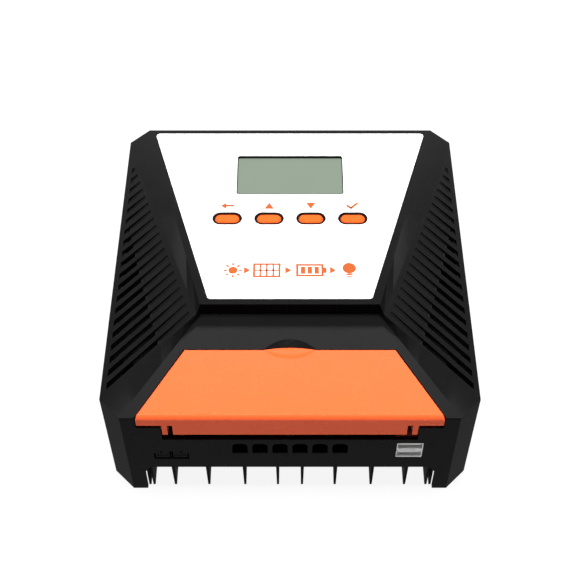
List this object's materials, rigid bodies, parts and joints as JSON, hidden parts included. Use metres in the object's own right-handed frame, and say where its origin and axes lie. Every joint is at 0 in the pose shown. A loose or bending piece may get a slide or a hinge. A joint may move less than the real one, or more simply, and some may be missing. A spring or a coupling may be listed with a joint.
{
  "type": "charge controller",
  "caption": "Solar charge controller with faceted vented case, sloping hinged terminal cover, display, keys, wire entries, USB sockets and a finned heat sink.",
  "frame": {"origin": "centre of the wall face, under the middle of the case", "axes": "+Z out of the wall, +Y from the wire entries to the display end, +X to the right seen from the front"},
  "size_m": [0.19, 0.2026, 0.0713],
  "materials": {
    "case_black": "fine moulded texture, black",
    "plate_white": "satin white printed overlay",
    "cover_orange": "satin orange",
    "key_orange": "satin orange key caps",
    "sink_black": "black anodised extrusion",
    "steel": "zinc plated",
    "standoff_brass": "turned",
    "board_green": "solder mask",
    "block_black": "black nylon",
    "contact_copper": "tinned copper bar",
    "terminal_screw_steel": "zinc plated",
    "clamp_steel": "plated steel cage",
    "usb_metal": "nickel plated shell",
    "tongue_white": "white plastic",
    "pin_gold": "gold plated",
    "plunger_grey": "grey",
    "switch_metal": "pressed steel cap",
    "display_glass": "grey-green liquid crystal display, off",
    "ribbon_grey": "flat ribbon",
    "capacitor_sleeve": "shrink sleeve",
    "ferrite_yellow": "powder coated toroid",
    "enamel_copper": "enamelled copper wire",
    "epoxy_black": "moulded epoxy",
    "bar_aluminium": "pressed clip",
    "pad_grey": "silicone pad",
    "fuse_amber": "translucent blade fuse"
  },
  "bodies": {
    "root": {"lower_housing": "case_black", "top_shell": "case_black", "face_plate": "plate_white", "hinge_pins": "steel", "heat_sink": "sink_black", "housing_screws": "steel", "cover_screws": "steel", "main_board": "board_green", "board_standoffs": "standoff_brass", "board_screws": "steel", "terminal_block": "block_black", "contact_bars": "contact_copper", "usb_shell": "usb_metal", "usb_tongues": "tongue_white", "comm_sockets": "block_black", "comm_pins": "pin_gold", "switch_bodies": "switch_metal", "display_board": "board_green", "display_board_screws": "steel", "lcd_bezel": "block_black", "lcd_glass": "display_glass", "lcd_frame": "tongue_white", "lcd_pins": "pin_gold", "ribbon_cable": "ribbon_grey", "ribbon_headers": "block_black", "capacitors": "capacitor_sleeve", "inductor_cores": "ferrite_yellow", "inductor_windings": "enamel_copper", "transistors": "epoxy_black", "transistor_bars": "bar_aluminium", "transistor_screws": "steel", "thermal_pads": "pad_grey", "fuses": "fuse_amber", "fuse_holders": "block_black", "current_shunt": "contact_copper", "control_chips": "epoxy_black"},
    "cover": {"terminal_cover": "cover_orange"},
    "key_back": {"key_back": "key_orange", "plunger_back": "plunger_grey"},
    "key_up": {"key_up": "key_orange", "plunger_up": "plunger_grey"},
    "key_down": {"key_down": "key_orange", "plunger_down": "plunger_grey"},
    "key_enter": {"key_enter": "key_orange", "plunger_enter": "plunger_grey"},
    "screw_1": {"terminal_screw_1": "terminal_screw_steel"},
    "cage_1": {"clamp_1": "clamp_steel"},
    "screw_2": {"terminal_screw_2": "terminal_screw_steel"},
    "cage_2": {"clamp_2": "clamp_steel"},
    "screw_3": {"terminal_screw_3": "terminal_screw_steel"},
    "cage_3": {"clamp_3": "clamp_steel"},
    "screw_4": {"terminal_screw_4": "terminal_screw_steel"},
    "cage_4": {"clamp_4": "clamp_steel"},
    "screw_5": {"terminal_screw_5": "terminal_screw_steel"},
    "cage_5": {"clamp_5": "clamp_steel"},
    "screw_6": {"terminal_screw_6": "terminal_screw_steel"},
    "cage_6": {"clamp_6": "clamp_steel"}
  },
  "joints": [
    {"name": "cover_hinge", "type": "hinge", "parent": "root", "child": "cover", "pos_m": [0, -0.0983, 0.0582], "axis": [1, 0, 0], "range_deg": [0, 100]},
    {"name": "key_back_press", "type": "slide", "parent": "root", "child": "key_back", "axis": [0, 0, -1], "range_m": [0, 0.0006], "stiffness_N_per_m": 600, "springref_m": -0.0008},
    {"name": "key_up_press", "type": "slide", "parent": "root", "child": "key_up", "axis": [0, 0, -1], "range_m": [0, 0.0006], "stiffness_N_per_m": 600, "springref_m": -0.0008},
    {"name": "key_down_press", "type": "slide", "parent": "root", "child": "key_down", "axis": [0, 0, -1], "range_m": [0, 0.0006], "stiffness_N_per_m": 600, "springref_m": -0.0008},
    {"name": "key_enter_press", "type": "slide", "parent": "root", "child": "key_enter", "axis": [0, 0, -1], "range_m": [0, 0.0006], "stiffness_N_per_m": 600, "springref_m": -0.0008},
    {"name": "screw_1_turn", "type": "hinge", "parent": "root", "child": "screw_1", "pos_m": [-0.02567, -0.0863, 0.056], "axis": [0, 0, -1], "range_deg": [0, 2702]},
    {"name": "clamp_1_rise", "type": "slide", "parent": "root", "child": "cage_1", "axis": [0, 0, 1], "range_m": [0, 0.006]},
    {"name": "screw_2_turn", "type": "hinge", "parent": "root", "child": "screw_2", "pos_m": [-0.0154, -0.0863, 0.056], "axis": [0, 0, -1], "range_deg": [0, 2702]},
    {"name": "clamp_2_rise", "type": "slide", "parent": "root", "child": "cage_2", "axis": [0, 0, 1], "range_m": [0, 0.006]},
    {"name": "screw_3_turn", "type": "hinge", "parent": "root", "child": "screw_3", "pos_m": [-0.00513, -0.0863, 0.056], "axis": [0, 0, -1], "range_deg": [0, 2702]},
    {"name": "clamp_3_rise", "type": "slide", "parent": "root", "child": "cage_3", "axis": [0, 0, 1], "range_m": [0, 0.006]},
    {"name": "screw_4_turn", "type": "hinge", "parent": "root", "child": "screw_4", "pos_m": [0.00513, -0.0863, 0.056], "axis": [0, 0, -1], "range_deg": [0, 2702]},
    {"name": "clamp_4_rise", "type": "slide", "parent": "root", "child": "cage_4", "axis": [0, 0, 1], "range_m": [0, 0.006]},
    {"name": "screw_5_turn", "type": "hinge", "parent": "root", "child": "screw_5", "pos_m": [0.0154, -0.0863, 0.056], "axis": [0, 0, -1], "range_deg": [0, 2702]},
    {"name": "clamp_5_rise", "type": "slide", "parent": "root", "child": "cage_5", "axis": [0, 0, 1], "range_m": [0, 0.006]},
    {"name": "screw_6_turn", "type": "hinge", "parent": "root", "child": "screw_6", "pos_m": [0.02567, -0.0863, 0.056], "axis": [0, 0, -1], "range_deg": [0, 2702]},
    {"name": "clamp_6_rise", "type": "slide", "parent": "root", "child": "cage_6", "axis": [0, 0, 1], "range_m": [0, 0.006]}
  ],
  "couplings": [
    {"joint": "screw_1_turn", "follows": "clamp_1_rise", "rad_per_m": 7854},
    {"joint": "screw_2_turn", "follows": "clamp_2_rise", "rad_per_m": 7854},
    {"joint": "screw_3_turn", "follows": "clamp_3_rise", "rad_per_m": 7854},
    {"joint": "screw_4_turn", "follows": "clamp_4_rise", "rad_per_m": 7854},
    {"joint": "screw_5_turn", "follows": "clamp_5_rise", "rad_per_m": 7854},
    {"joint": "screw_6_turn", "follows": "clamp_6_rise", "rad_per_m": 7854}
  ]
}
